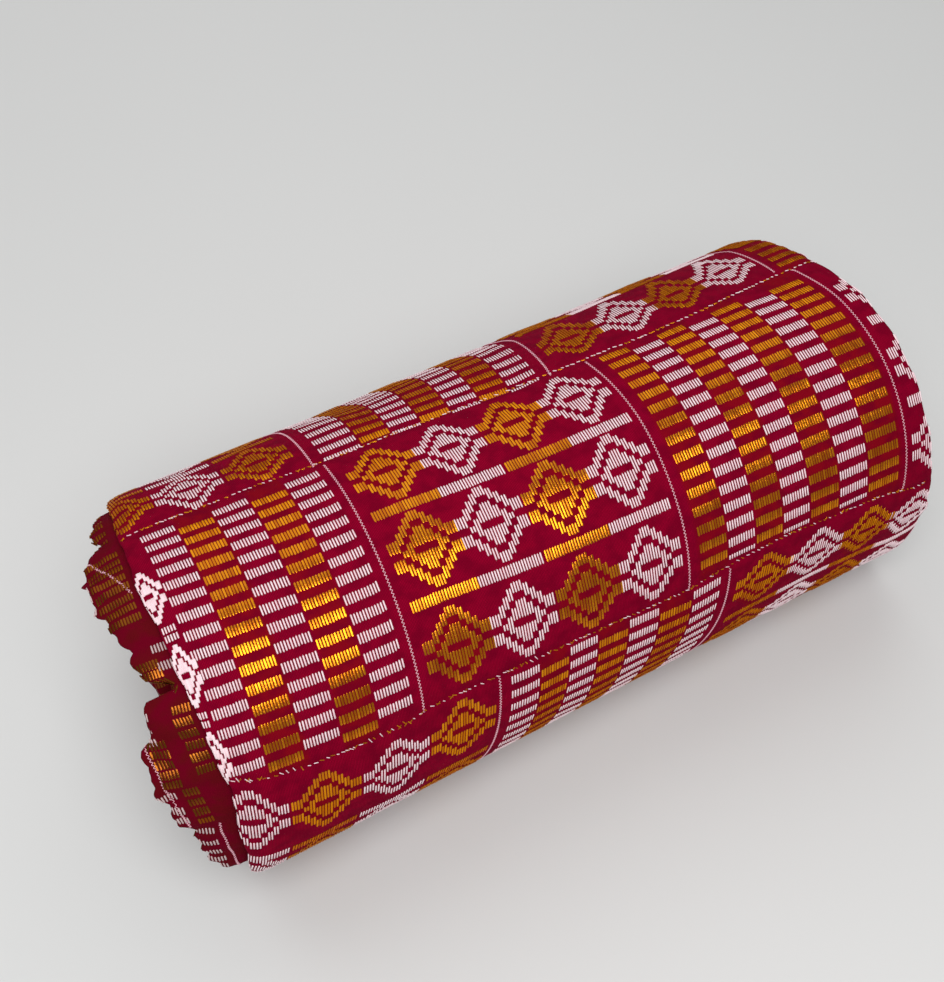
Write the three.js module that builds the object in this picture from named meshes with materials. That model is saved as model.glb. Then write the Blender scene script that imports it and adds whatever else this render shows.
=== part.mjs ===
// A woven strip cloth, folded to a thick band and rolled up. Millimetres, +Z up.
// The roll lies along X on the plane Z = 0, and its near side faces -Y.
import * as THREE from "three";

// The folded band: its width lies along X, and its length is wound round the axis.
const BAND_LEFT = -129.3;
const BAND_RIGHT = 147.4;
const TURN_GAP = 0.8;

// The winding: it starts under the roll at START_ANGLE, where 0 degrees is the back and 90 the top,
// runs under the near side, and passes over the top to the back. Each turn is smaller than the one
// round it by TURN_SHARE of the outer radius, and steps in over the last STEP_ANGLE of a turn.
const START_ANGLE = 298;
const TURNS = 4.7;
const TURN_SHARE = 0.196;
const STEP_ANGLE = 42;
const AXIS_Y = -3.55;
const AXIS_Z = 61;

// Outer radius of the roll at its left and its right end, at even angles round the axis.
// The near side bulges at the left end, and the back swells towards the right end.
const outline = [
  { angle: 0, left: 75.3, right: 85.7 },
  { angle: 24, left: 65.4, right: 72.3 },
  { angle: 48, left: 61.9, right: 62.2 },
  { angle: 72, left: 60.0, right: 60.0 },
  { angle: 96, left: 63.3, right: 62.8 },
  { angle: 120, left: 68.5, right: 65.0 },
  { angle: 144, left: 74.1, right: 64.9 },
  { angle: 168, left: 77.4, right: 62.7 },
  { angle: 192, left: 79.4, right: 61.6 },
  { angle: 216, left: 75.8, right: 66.6 },
  { angle: 240, left: 68.1, right: 70.0 },
  { angle: 264, left: 63.1, right: 63.8 },
  { angle: 288, left: 64.5, right: 64.4 },
  { angle: 312, left: 73.3, right: 74.2 },
  { angle: 336, left: 78.7, right: 83.3 },
];

// The band is two stacks of layers: an outer wrap, and an inner stack that has slid to the left
// in it. The shift is how far the inner stack stands out of the wrap at the left end, and how far
// it lies inside it at the right end. The turn counts the winding from its start under the roll.
const WRAP_SHARE = 0.34;
const CREASE_SHARE = 0.04;
const CREASE_DEPTH = 12;
const shifts = [
  { turn: 0.0, shift: 5 },
  { turn: 0.2, shift: 6 },
  { turn: 0.27, shift: 8 },
  { turn: 0.33, shift: 12 },
  { turn: 0.37, shift: 17 },
  { turn: 0.42, shift: 18.2 },
  { turn: 0.45, shift: 14 },
  { turn: 0.466, shift: 11 },
  { turn: 0.472, shift: 1 },
  { turn: 0.485, shift: 8 },
  { turn: 0.51, shift: 11 },
  { turn: 0.55, shift: 15 },
  { turn: 0.625, shift: 16 },
  { turn: 0.66, shift: 9 },
  { turn: 0.75, shift: 6 },
  { turn: 0.9, shift: 10 },
  { turn: 1.1, shift: 7 },
  { turn: 1.4, shift: 12 },
  { turn: 1.472, shift: 1 },
  { turn: 1.6, shift: 10 },
  { turn: 1.9, shift: 12 },
  { turn: 2.3, shift: 7 },
  { turn: 2.472, shift: 3 },
  { turn: 2.65, shift: 13 },
  { turn: 3.2, shift: 6 },
  { turn: 3.7, shift: 12 },
  { turn: 4.3, shift: 5 },
  { turn: 5.0, shift: 9 },
];

// Fineness of the surface.
const STEPS_IN_A_TURN = [66, 38, 28, 20, 14];
const ROWS_ON_A_FACE = 5;
const STEPS_ROUND_A_FOLD = 4;

const cloth = new THREE.MeshStandardMaterial({
  color: 0x8e0f35,
  roughness: 0.85,
  metalness: 0,
});

const toRadians = (degrees) => (degrees * Math.PI) / 180;

// A smooth closed curve through the rows of the outline, read at any angle.
function radiusOf(side, angle) {
  const rows = outline.length;
  const place = ((((angle % 360) + 360) % 360) / 360) * rows;
  const row = Math.floor(place);
  const part = place - row;
  const [a, b, c, d] = [-1, 0, 1, 2].map((k) => outline[(row + k + rows) % rows][side]);
  const slope = c - a;
  const bend = 2 * a - 5 * b + 4 * c - d;
  const twist = 3 * b - a - 3 * c + d;
  return 0.5 * (2 * b + slope * part + bend * part ** 2 + twist * part ** 3);
}

// The outer radius at a place along the roll, cut off where the roll lies flat on Z = 0.
function outerRadius(angle, x) {
  const along = (x - BAND_LEFT) / (BAND_RIGHT - BAND_LEFT);
  const round = THREE.MathUtils.lerp(radiusOf("left", angle), radiusOf("right", angle), along);
  const down = -Math.sin(toRadians(angle));
  return down > 0.2 ? Math.min(round, AXIS_Z / down) : round;
}

// The share of the outer radius that is left after some turns.
function shareAfter(turns) {
  const whole = Math.floor(turns);
  const into = (turns - whole - (1 - STEP_ANGLE / 360)) / (STEP_ANGLE / 360);
  return 1 - TURN_SHARE * (whole + THREE.MathUtils.smoothstep(into, 0, 1));
}

function shiftAfter(turns) {
  const next = shifts.findIndex((row) => row.turn >= turns);
  if (next <= 0) return shifts[0].shift;
  const [before, after] = [shifts[next - 1], shifts[next]];
  const part = (turns - before.turn) / (after.turn - before.turn);
  return THREE.MathUtils.lerp(before.shift, after.shift, THREE.MathUtils.smoothstep(part, 0, 1));
}

// The layers lie looser where the roll is wider, so the band is thicker there.
function bandThickness(angle, x) {
  return outerRadius(angle, x) * TURN_SHARE - TURN_GAP;
}

// A round fold of a stack at one end of the roll, as points from one depth to another.
// Side is -1 on the left and 1 on the right, and tip is where the fold ends along X.
function fold(side, tip, thickness, fromDepth, toDepth) {
  const radius = (Math.abs(toDepth - fromDepth) * thickness) / 2;
  const middle = (fromDepth + toDepth) / 2;
  const points = [];
  for (let step = 0; step <= STEPS_ROUND_A_FOLD; step++) {
    const turn = (Math.PI * step) / STEPS_ROUND_A_FOLD;
    const depth = middle + (fromDepth - middle) * Math.cos(turn);
    points.push([tip - side * radius * (1 - Math.sin(turn)), depth]);
  }
  return points;
}

// The points between two ends of a face, without the ends.
function faceBetween(from, to, depth) {
  const points = [];
  for (let row = 1; row < ROWS_ON_A_FACE; row++)
    points.push([THREE.MathUtils.lerp(from, to, row / ROWS_ON_A_FACE), depth]);
  return points;
}

// The band's section, counted round from the outer face: the right folds of wrap and inner stack,
// the inner face, the left folds of inner stack and wrap. Each point has a place along X and a
// depth below the outer face, as a share of the band's thickness.
function bandSection(angle, shift) {
  const atLeft = bandThickness(angle, BAND_LEFT);
  const atRight = bandThickness(angle, BAND_RIGHT);
  const under = WRAP_SHARE + CREASE_SHARE;
  const right = [
    ...fold(1, BAND_RIGHT, atRight, 0, WRAP_SHARE),
    [BAND_RIGHT - shift - CREASE_DEPTH, (WRAP_SHARE + under) / 2],
    ...fold(1, BAND_RIGHT - shift, atRight, under, 1),
  ];
  const left = [
    ...fold(-1, BAND_LEFT - shift, atLeft, 1, under),
    [BAND_LEFT + CREASE_DEPTH, (WRAP_SHARE + under) / 2],
    ...fold(-1, BAND_LEFT, atLeft, WRAP_SHARE, 0),
  ];
  return [
    ...right,
    ...faceBetween(right.at(-1)[0], left[0][0], 1),
    ...left,
    ...faceBetween(left.at(-1)[0], right[0][0], 0),
  ];
}

// The turns at which the band's section is drawn, finer on the outer turns.
function stations() {
  const list = [];
  STEPS_IN_A_TURN.forEach((steps, turn) => {
    for (let step = 0; step < steps; step++) list.push(turn + step / steps);
  });
  return [...list.filter((turns) => turns < TURNS - 0.01), TURNS];
}

function rolledBand() {
  const positions = [];
  const faces = [];
  const places = stations();
  for (const turns of places) {
    const angle = START_ANGLE - 360 * turns;
    for (const [x, depth] of bandSection(angle, shiftAfter(turns))) {
      const outer = outerRadius(angle, x) * shareAfter(turns);
      const radius = outer - depth * bandThickness(angle, x);
      positions.push(
        x,
        AXIS_Y + radius * Math.cos(toRadians(angle)),
        AXIS_Z + radius * Math.sin(toRadians(angle)),
      );
    }
  }
  const ring = positions.length / 3 / places.length;
  const at = (station, point) => station * ring + (point % ring);
  for (let station = 0; station + 1 < places.length; station++)
    for (let point = 0; point < ring; point++) {
      const corners = [
        at(station, point),
        at(station, point + 1),
        at(station + 1, point + 1),
        at(station + 1, point),
      ];
      faces.push(corners[0], corners[1], corners[2], corners[0], corners[2], corners[3]);
    }
  const closeEnd = (station, outwards) => {
    const centre = positions.length / 3;
    const sum = [0, 0, 0];
    for (let point = 0; point < ring; point++)
      sum.forEach((_, k) => (sum[k] += positions[3 * at(station, point) + k] / ring));
    positions.push(...sum);
    for (let point = 0; point < ring; point++) {
      const [from, to] = [at(station, point), at(station, point + 1)];
      faces.push(centre, outwards ? from : to, outwards ? to : from);
    }
  };
  closeEnd(0, false);
  closeEnd(places.length - 1, true);
  const geometry = new THREE.BufferGeometry();
  geometry.setAttribute("position", new THREE.Float32BufferAttribute(positions, 3));
  geometry.setIndex(faces);
  geometry.computeVertexNormals();
  return geometry;
}

const roll = new THREE.Mesh(rolledBand(), cloth);
roll.name = "folded_cloth";

const part = new THREE.Group();
part.add(roll);
export default part;
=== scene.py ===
# A woven strip cloth in crimson, white and gold, folded to a band and rolled up.
# The cloth is one thin sheet on the roll's own shape, and its raised weft floats, seam stitches
# and edge lines lie on it. Sizes in the tables are millimetres, and MM brings them to metres.
import math

import bpy
import numpy as np
from mathutils import Matrix, Vector


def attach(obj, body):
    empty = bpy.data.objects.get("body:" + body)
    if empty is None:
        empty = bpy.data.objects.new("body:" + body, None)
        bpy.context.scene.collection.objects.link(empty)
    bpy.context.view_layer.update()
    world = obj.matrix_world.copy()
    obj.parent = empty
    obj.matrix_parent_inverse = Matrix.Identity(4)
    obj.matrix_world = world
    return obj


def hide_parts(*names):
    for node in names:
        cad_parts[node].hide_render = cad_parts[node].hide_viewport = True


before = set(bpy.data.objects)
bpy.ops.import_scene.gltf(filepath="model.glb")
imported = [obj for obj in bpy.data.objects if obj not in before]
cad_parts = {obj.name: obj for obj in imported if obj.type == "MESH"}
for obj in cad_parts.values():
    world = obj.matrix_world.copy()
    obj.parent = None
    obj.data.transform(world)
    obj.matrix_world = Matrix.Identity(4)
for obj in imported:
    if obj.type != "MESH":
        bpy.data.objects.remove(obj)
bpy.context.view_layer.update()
MM = 0.001

# The folded band and its winding, as in the solid.
BAND_LEFT = -129.3
BAND_RIGHT = 147.4
TURN_GAP = 0.8
START_ANGLE = 298.0
TURNS = 4.7
TURN_SHARE = 0.196
STEP_PART = 42 / 360
AXIS_Y = -3.55
AXIS_Z = 61.0

# Outer radius of the roll: angle, at the left end, at the right end.
OUTLINE = np.array([
    (0, 75.3, 85.7), (24, 65.4, 72.3), (48, 61.9, 62.2), (72, 60.0, 60.0), (96, 63.3, 62.8),
    (120, 68.5, 65.0), (144, 74.1, 64.9), (168, 77.4, 62.7), (192, 79.4, 61.6), (216, 75.8, 66.6),
    (240, 68.1, 70.0), (264, 63.1, 63.8), (288, 64.5, 64.4), (312, 73.3, 74.2), (336, 78.7, 83.3),
])

# How far the inner stack stands out of the wrap at the left end: turn, shift.
SHIFTS = np.array([
    (0.0, 5), (0.2, 6), (0.27, 8), (0.33, 12), (0.37, 17), (0.42, 18.2), (0.45, 14), (0.466, 11),
    (0.472, 1), (0.485, 8), (0.51, 11), (0.55, 15), (0.625, 16), (0.66, 9), (0.75, 6), (0.9, 10),
    (1.1, 7), (1.4, 12), (1.472, 1), (1.6, 10), (1.9, 12), (2.3, 7), (2.472, 3), (2.65, 13),
    (3.2, 6), (3.7, 12), (4.3, 5), (5.0, 9),
])

# The sheet in the band: its thickness, and the depths of its layers as shares of the band's.
# The inner stack is five pairs of layers, and each pair has a fold at the left.
SHEET = 0.43
WRAP_SHARE = 0.34
FLAP_SHARE = WRAP_SHARE / 2
INNER_SHARE = 0.38
PAIR_SHARES = (0.3, 0.2, 0.18, 0.16, 0.16)
PAIR_STAGGER = (0.0, 3.4, 6.0, 4.6, 7.0)
PAIR_ROUND = (3.4, 1.7, 1.5, 1.5, 1.5)
LAYER_AIR = 0.01
RIM_LENGTH = 7.0
RIM_LENGTH_RIGHT = 6.0
TIGHT_FOLD = 0.5
FLAP_LENGTH = 60.0

# Where cloth coordinates start: u runs along the strips from the left rim, and v round the roll.
CLOTH_ORIGIN = -121.3
V_ORIGIN_ANGLE = 77.5


def smooth(part):
    """A soft step from 0 to 1."""
    part = np.clip(part, 0, 1)
    return part * part * (3 - 2 * part)


def along_table(x, *rows):
    """Reads a small table of (place, value) rows at x."""
    return np.interp(x, *zip(*rows))


# Shape of the roll


def radius_at(column, angle):
    """A smooth closed curve through one column of the outline."""
    rows = len(OUTLINE)
    place = np.mod(angle, 360) / 360 * rows
    row = np.floor(place).astype(int)
    part = place - row
    a, b, c, d = (OUTLINE[(row + k) % rows, column] for k in (-1, 0, 1, 2))
    bend = 2 * a - 5 * b + 4 * c - d
    twist = 3 * b - a - 3 * c + d
    return 0.5 * (2 * b + (c - a) * part + bend * part**2 + twist * part**3)


# The roll is flat underneath where its radius points down by more than this sine.
FLAT_FROM = 0.2


def outer_radius(angle, x):
    """The roll's radius at an angle and a place along it, flat where it rests."""
    along = (x - BAND_LEFT) / (BAND_RIGHT - BAND_LEFT)
    full = radius_at(1, angle) * (1 - along) + radius_at(2, angle) * along
    down = -np.sin(np.radians(angle))
    floor_radius = AXIS_Z / np.maximum(down, FLAT_FROM)
    return np.where(down > FLAT_FROM, np.minimum(full, floor_radius), full)


def share_after(turn):
    """The share of the outer radius that is left after some turns."""
    whole = np.floor(turn)
    return 1 - TURN_SHARE * (whole + smooth((turn - whole - 1 + STEP_PART) / STEP_PART))


def shift_after(turn):
    """How far the inner stack has slid to the left."""
    row = np.clip(np.searchsorted(SHIFTS[:, 0], turn), 1, len(SHIFTS) - 1)
    (t0, s0), (t1, s1) = SHIFTS[row - 1], SHIFTS[row]
    return s0 + (s1 - s0) * smooth((turn - t0) / (t1 - t0))


def band_thickness(angle, x):
    return outer_radius(angle, x) * TURN_SHARE - TURN_GAP


def angle_of(turn):
    return START_ANGLE - 360 * turn


def ripple(place, *waves):
    """A sum of sine waves: each is a height, a wavelength and a phase."""
    return sum(h * np.sin(2 * np.pi * place / length + phase) for h, length, phase in waves)


def puffs(place, *bumps):
    """A sum of round bumps with sharp valleys: each is a height, a length and a phase."""
    heights = (
        h * (np.abs(np.sin(np.pi * place / length + phase)) - 0.6) for h, length, phase in bumps
    )
    return sum(heights)


# Length along the winding: v is the length round the roll from the top, more towards the front.

X_ROWS = np.linspace(-172, 160, 13)
TURN_ROWS = np.linspace(0, TURNS, 1600)
V_ROWS = np.arange(-1250.0, 300.0, 1.0)


def wound_lengths():
    """v at each row of X_ROWS and TURN_ROWS."""
    lengths = []
    angle = angle_of(TURN_ROWS)
    for x in X_ROWS:
        radius = outer_radius(angle, x) * share_after(TURN_ROWS)
        y, z = radius * np.cos(np.radians(angle)), radius * np.sin(np.radians(angle))
        wound = np.concatenate([[0], np.cumsum(np.hypot(np.diff(y), np.diff(z)))])
        start = (START_ANGLE - V_ORIGIN_ANGLE) / 360
        lengths.append(np.interp(start, TURN_ROWS, wound) - wound)
    return np.array(lengths)


V_OF_TURN = wound_lengths()
TURN_OF_V = np.array([np.interp(V_ROWS, row[::-1], TURN_ROWS[::-1]) for row in V_OF_TURN])


def grid_read(table, i, j):
    """Reads a two-way table between its rows and columns."""
    i = np.clip(i, 0, table.shape[0] - 1.001)
    j = np.clip(j, 0, table.shape[1] - 1.001)
    a, b = i.astype(int), j.astype(int)
    f, g = i - a, j - b
    if table.ndim == 3:
        f, g = f[..., None], g[..., None]
    upper = table[a, b] * (1 - g) + table[a, b + 1] * g
    lower = table[a + 1, b] * (1 - g) + table[a + 1, b + 1] * g
    return upper * (1 - f) + lower * f


def x_row(x):
    return (np.asarray(x, float) - X_ROWS[0]) / (X_ROWS[1] - X_ROWS[0])


def turn_at(v, x):
    return grid_read(TURN_OF_V, x_row(x), np.asarray(v, float) - V_ROWS[0])


def v_at(turn, x):
    return grid_read(V_OF_TURN, x_row(x), turn / TURNS * (len(TURN_ROWS) - 1))


def skew(v):
    """The strips run a little askew of the roll."""
    w = np.clip(v, -60, 150) - 50
    return -0.026 * w - 0.053 * w**2 / 50


# Seams between the strips, as v at places u along them.

SEAM_BACK = -113.0
SEAM_FRONT_LOW = 196.6


def seam_top(u):
    return along_table(
        u, (0, -5.6), (20, -5), (60, -4), (150, -4), (180, -4.7), (210, -6.2), (225, -8),
        (245, -10.5), (265, -12),
    )


def seam_front(u):
    return along_table(
        u, (-10, 90.5), (0, 93), (12, 97.2), (20, 98.6), (45, 100), (58, 99.8), (66, 97.3),
        (110, 97), (165, 97.3), (180, 94.8), (205, 92.7), (230, 93.6), (250, 95), (262, 98),
    )


def seam_lines(u):
    """v of the four seams on the outer turn, from the front to the back."""
    return [SEAM_FRONT_LOW + 0 * u, seam_front(u), seam_top(u), SEAM_BACK + 0 * u]


def seam_turns():
    """The turn of each seam at X_ROWS."""
    turns = []
    for k in range(4):
        v = seam_lines(X_ROWS - CLOTH_ORIGIN)[k]
        for _ in range(2):
            v = seam_lines(X_ROWS - CLOTH_ORIGIN + skew(v))[k]
        turns.append(turn_at(v, X_ROWS))
    return np.array(turns)


SEAM_TURNS = seam_turns()
SEAM_STATIONS = SEAM_TURNS.mean(axis=1)
STATION_KNOTS = np.concatenate([[0], SEAM_STATIONS, [1.16]])
STATION_OFFSETS = np.vstack([0 * X_ROWS, SEAM_TURNS - SEAM_STATIONS[:, None], 0 * X_ROWS]).T


def station_offset(x, station):
    """What is added to a station, a row of the mesh, so that rows run along the seams."""
    knots = np.interp(station, STATION_KNOTS, np.arange(len(STATION_KNOTS)))
    return grid_read(STATION_OFFSETS, x_row(x), knots + 0 * np.asarray(x))


def station_of(turn, x):
    """The station that reaches a turn at x, found by steps that soon settle."""
    station = turn
    for _ in range(3):
        station = turn - station_offset(x, station)
    return station


# Rows of the mesh: start, end and steps of the outer turn's parts, the steps of the other turns,
# and the rows beside each seam with the least turn from a seam to any other row.
OUTER_TURN_ROWS = ((0, 0.27, 36), (0.27, 0.66, 96), (0.66, 1, 46))
INNER_TURN_ROWS = (38, 28, 20, 14)
SEAM_ROWS = np.array([-0.0028, -0.0012, 0, 0.0012, 0.0028])
SEAM_CLEAR = 0.0045
LAST_ROW_CLEAR = 0.01


def stations():
    """Rows of the mesh as turns, closer on the outer turn and at its seams."""
    rows = []
    for start, end, steps in OUTER_TURN_ROWS:
        rows += [start + (end - start) * k / steps for k in range(steps)]
    for turn, steps in enumerate(INNER_TURN_ROWS, start=1):
        rows += [turn + k / steps for k in range(steps)]
    for seam in SEAM_STATIONS:
        rows = [r for r in rows if abs(r - seam) > SEAM_CLEAR] + list(seam + SEAM_ROWS)
    rows = sorted(r for r in rows if r < TURNS - LAST_ROW_CLEAR)
    return np.array([*rows, TURNS])


# The sheet's path across the band


def fold(side, tip, length, start, end, steps, face, front_out=True):
    """A round fold. side is -1 left and 1 right, start and end are depth shares, and face is 1
    where the front of the layer before it looks outwards. Each row has x, the depth share, the
    back's dx and the back's depth. front_out says that the front is the fold's outside."""
    rows = []
    middle = (start + end) / 2
    for step in range(steps + 1):
        turn = math.pi * step / steps
        inset = length * (1 - math.sin(turn)) + (0 if front_out else SHEET)
        share = middle + (start - middle) * math.cos(turn)
        back = (-side if front_out else side) * SHEET * math.sin(turn)
        rows.append((tip - side * inset, share, back, face * SHEET * math.cos(turn)))
    return rows


def layer(start, end, share, end_share, count, face, crowd=1.0):
    """The points of a flat layer between two folds, without the folds' own. crowd over 1 brings
    them closer together towards the end."""
    rows = []
    for step in range(1, count + 1):
        part = 1 - (1 - step / (count + 1)) ** crowd
        x = start + (end - start) * part
        rows.append((x, share + (end_share - share) * part, 0, face * SHEET))
    return rows


def pair_depths():
    """Depth shares of the front of the upper and the lower layer of each inner pair."""
    depths = []
    top = INNER_SHARE
    for share in PAIR_SHARES:
        bottom = top + share * (1 - INNER_SHARE)
        depths.append((top + LAYER_AIR, bottom - LAYER_AIR))
        top = bottom
    return depths


PAIRS = pair_depths()


def left_tip(pair, turn, v):
    """Where the left fold of an inner pair ends along the roll."""
    rough = puffs(v, (1.5, 8.3 + 0.4 * pair, 1.7 * pair), (2.0, 15.0 - pair, 0.7 + pair))
    rough = rough + ripple(v, (0.8, 41.0 + 3 * pair, 2.6 * pair))
    out = shift_after(turn) - PAIR_STAGGER[pair] - 1.0 + rough
    return BAND_LEFT - max(out, 0.3 - 0.7 * pair)


def rim_left(v):
    """Where the wrap's left fold ends: it draws in along the front."""
    drawn_in = along_table(v, (18, 0), (56, 2.4), (83, 3.3), (98, 3.6), (118, 1.2), (140, 0))
    return BAND_LEFT + drawn_in + ripple(v, (0.25, 31.0, 0.4), (0.18, 12.0, 2.0))


def rim_right_tip(v):
    """Where the wrap's right fold ends: it draws in on top and stands out low in front."""
    out = along_table(
        v, (-70, 0), (-25, -2.0), (5, -2.8), (35, -2.2), (65, -2.0), (88, -0.6), (104, 1.8),
        (130, 2.8), (152, 1.8), (185, 0),
    )
    notch = sum(np.exp(-(((v - s) / 3.0) ** 2)) for s in seam_lines(np.array([262.0])))
    return BAND_RIGHT + out - 0.8 * float(np.sum(notch)) + ripple(v, (0.3, 17.0, 0.8))


def band_path(station):
    """One section of the sheet: arrays of x, depth share, back's dx and back's depth, and the
    numbers of the outer layer's first and last point, and of those of the first inner layer."""
    left_turn = float(station + station_offset(np.array([BAND_LEFT]), station)[0])
    v, v_right = (float(v_at(np.array([left_turn]), np.array([x]))[0]) for x in (BAND_LEFT, BAND_RIGHT))
    shift = float(shift_after(station))
    right_tip = float(rim_right_tip(v_right))
    right_rim = right_tip - RIM_LENGTH_RIGHT
    left_rim = float(rim_left(v))
    flap_start = BAND_RIGHT - FLAP_LENGTH
    rows = [(flap_start, FLAP_SHARE, 0, -SHEET)]
    rows += layer(flap_start, right_rim, FLAP_SHARE, WRAP_SHARE, 5, -1)
    rows += fold(1, right_tip, RIM_LENGTH_RIGHT, WRAP_SHARE, 0, 9, -1)
    outer_start = len(rows) - 1
    rows += layer(right_rim, left_rim + RIM_LENGTH, 0, 0, 44, 1)
    outer_end = len(rows)
    rows += fold(-1, left_rim, RIM_LENGTH, 0, WRAP_SHARE, 12, 1)
    turn_in = BAND_RIGHT - max(12.0, shift) - 3.0
    rows += layer(left_rim + RIM_LENGTH, turn_in - 1, WRAP_SHARE, WRAP_SHARE, 6, -1)
    rows += fold(1, turn_in, TIGHT_FOLD, WRAP_SHARE, PAIRS[0][0], 3, -1, front_out=False)
    inner_start = len(rows) - 1
    start = turn_in - 1
    for pair, (upper, lower) in enumerate(PAIRS):
        tip = left_tip(pair, left_turn, v)
        round_x = PAIR_ROUND[pair]
        count, steps, crowd = (12, 8, 2.2) if pair == 0 else (3, 4, 2.5)
        rows += layer(start, tip + round_x, upper, upper, count, 1, crowd)
        if pair == 0:
            inner_end = len(rows)
        rows += fold(-1, tip, round_x, upper, lower, steps, 1)
        if pair == len(PAIRS) - 1:
            rows += layer(tip + round_x, BAND_RIGHT - shift - 9, lower, lower, 3, -1)
            rows.append((BAND_RIGHT - shift - 8, lower, 0, -SHEET))
            break
        tip_right = BAND_RIGHT - shift - 1 + float(ripple(v, (1.2, 37 + 5 * pair, pair)))
        rows += layer(tip + round_x, tip_right - 1, lower, lower, 3, -1)
        rows += fold(1, tip_right, TIGHT_FOLD, lower, PAIRS[pair + 1][0], 3, -1, front_out=False)
        start = tip_right - 1
    return *np.array(rows).T, (outer_start, outer_end, inner_start, inner_end)


SEAM_TROUGH = 0.5
SEAM_TROUGH_WIDTH = 1.5


def sag(u, v, turn, share):
    """How far the outer layer lies below the plain roll: seams pull in, and the cloth waves."""
    seams = sum(np.exp(-(((v - s) / SEAM_TROUGH_WIDTH) ** 2)) for s in seam_lines(u))
    waves = ripple(u, (0.16, 61, 0.4), (0.1, 27, 1.9)) * ripple(v, (1.0, 83, 0.9), (0.6, 39, 2.2))
    dip = 1.5 * np.exp(-(((u - 92) / 16) ** 2) - ((v + 47) / 18) ** 2)
    corner = 2.2 * smooth((4 - u) / 14) * np.exp(-(((v + 30) / 28) ** 2))
    outer = np.clip(1 - share / WRAP_SHARE, 0, 1) * (1 - smooth((turn - 0.9) / 0.1))
    return (SEAM_TROUGH * seams + 0.25 + waves + dip + corner) * outer


def end_lumps(x, v, share):
    """The folds that stand out at the left end are crumpled, and droop."""
    out = np.clip((BAND_LEFT + 4 - x) / 14, 0, 1.3)
    lumps = ripple(v, (0.2, 9.3, 0.3), (0.6, 19.0, 1.1), (0.8, 47.0, 4.0))
    dents = ripple(x, (1.0, 9.0, 0.5)) * ripple(v, (0.5, 13.0, 0.0), (0.2, 8.1, 2.0))
    return out * (lumps + dents) + 3.4 * out**2 * (1 - 0.75 * share)


def place_on_roll(x, turn, depth):
    angle = np.radians(angle_of(turn))
    radius = outer_radius(angle_of(turn), x) * share_after(turn) - depth
    return np.stack([x, AXIS_Y + radius * np.cos(angle), AXIS_Z + radius * np.sin(angle)], -1)


class Cloth:
    """The sheet's rows of points: front and back, with the cloth's own coordinates."""

    U_STEP = 0.5
    U_LEFT = -640.0
    U_RIGHT = 335.0

    def __init__(self):
        self.stations = stations()
        self.inner_rims = []
        rows = zip(*(self.row(float(station)) for station in self.stations))
        self.front, self.back, self.uv = (np.array(row) for row in rows)
        self.spread_out()

    def row(self, station):
        """One section of the sheet. u goes on past the rims by the length of the path."""
        x, share, back_x, back_depth, marks = band_path(station)
        outer_start, outer_end, inner_start, inner_end = marks
        turn = np.clip(station + station_offset(x, station), 0, TURNS)
        thickness = band_thickness(angle_of(turn), x)
        v = v_at(turn, x)
        flat_u = x - CLOTH_ORIGIN - skew(v)
        depth = share * thickness + sag(flat_u, v, turn, share) + end_lumps(x, v, share)
        front = place_on_roll(x, turn, depth)
        back = place_on_roll(x + back_x, turn, depth + back_depth)
        path = np.concatenate([[0], np.cumsum(np.hypot(np.diff(x), np.diff(share * thickness)))])
        u = flat_u.copy()
        u[:outer_start] = u[outer_start] + path[outer_start] - path[:outer_start]
        u[outer_end + 1:] = u[outer_end] - (path[outer_end + 1:] - path[outer_end])
        inner = slice(inner_start, inner_end)
        self.inner_rims.append(float(np.interp(-BAND_LEFT, -x[inner], u[inner])))
        return front, back, np.stack([u, v], -1)

    def spread_out(self):
        """Even columns in u over each row, for finding a place on the cloth."""
        self.u_columns = np.arange(self.U_LEFT, self.U_RIGHT, self.U_STEP)
        rows = []
        for front, uv in zip(self.front, self.uv):
            u = uv[::-1, 0]
            rows.append(np.stack([np.interp(self.u_columns, u, front[::-1, k]) for k in range(3)], -1))
        self.even = np.array(rows)

    def at(self, u, v):
        """Points of the cloth's front in millimetres."""
        x = np.clip(u + CLOTH_ORIGIN + skew(v), BAND_LEFT - 8, BAND_RIGHT + 3)
        turn = turn_at(v, x)
        station = station_of(turn, x)
        i = np.interp(station, self.stations, np.arange(len(self.stations)))
        j = (u - self.U_LEFT) / self.U_STEP
        return grid_read(self.even, i, j)

    def inner_u(self, out, v):
        """u on the outermost inner layer, at a distance out of the wrap at the left end."""
        left = BAND_LEFT + 0 * v
        station = station_of(turn_at(v, left), left)
        return np.interp(station, self.stations, self.inner_rims) - out

    def normal(self, u, v):
        """Directions that stand up from the cloth's front."""
        across = self.at(u + 0.6, v) - self.at(u - 0.6, v)
        along = self.at(u, v + 0.8) - self.at(u, v - 0.8)
        n = np.cross(across, along)
        return -n / np.maximum(np.linalg.norm(n, axis=-1, keepdims=True), 1e-9)


cloth = Cloth()

# The pattern: each float is a raised weft thread that runs along v, from one v to another.

PICK = 1.0
BAR_HEIGHT = 3.6
BAR_PITCH = 6.45
DIAMOND_UNIT = 2.2
THIN_BAR = 4.1
THIN_BAR_HALF = 11.8
COLUMN_GAP = 0.25
SHORTEST_BAR = 0.9
SHORTEST_RUN = 0.8
WHITE, GOLD = "white", "gold"
COLOUR_OF = {"W": WHITE, "G": GOLD}


def spaced(first, count, step=BAR_PITCH):
    """Even places: the middles of bars, or the edges of columns."""
    return [first + step * k for k in range(count)]


# One side of a diamond, from its middle outwards: how many picks, and from where to where each
# thread runs above the middle. A thread from below zero crosses the middle as one.
DIAMOND = (
    (2, (0.5, 3.5), (4.5, 6.2)),
    (2, (0.5, 2.5), (3.5, 5.5)),
    (2, (-1.5, 1.5), (2.5, 4.5)),
    (2, (-0.5, 0.5), (1.5, 3.5)),
    (4, (0.5, 2.5)),
)


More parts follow.
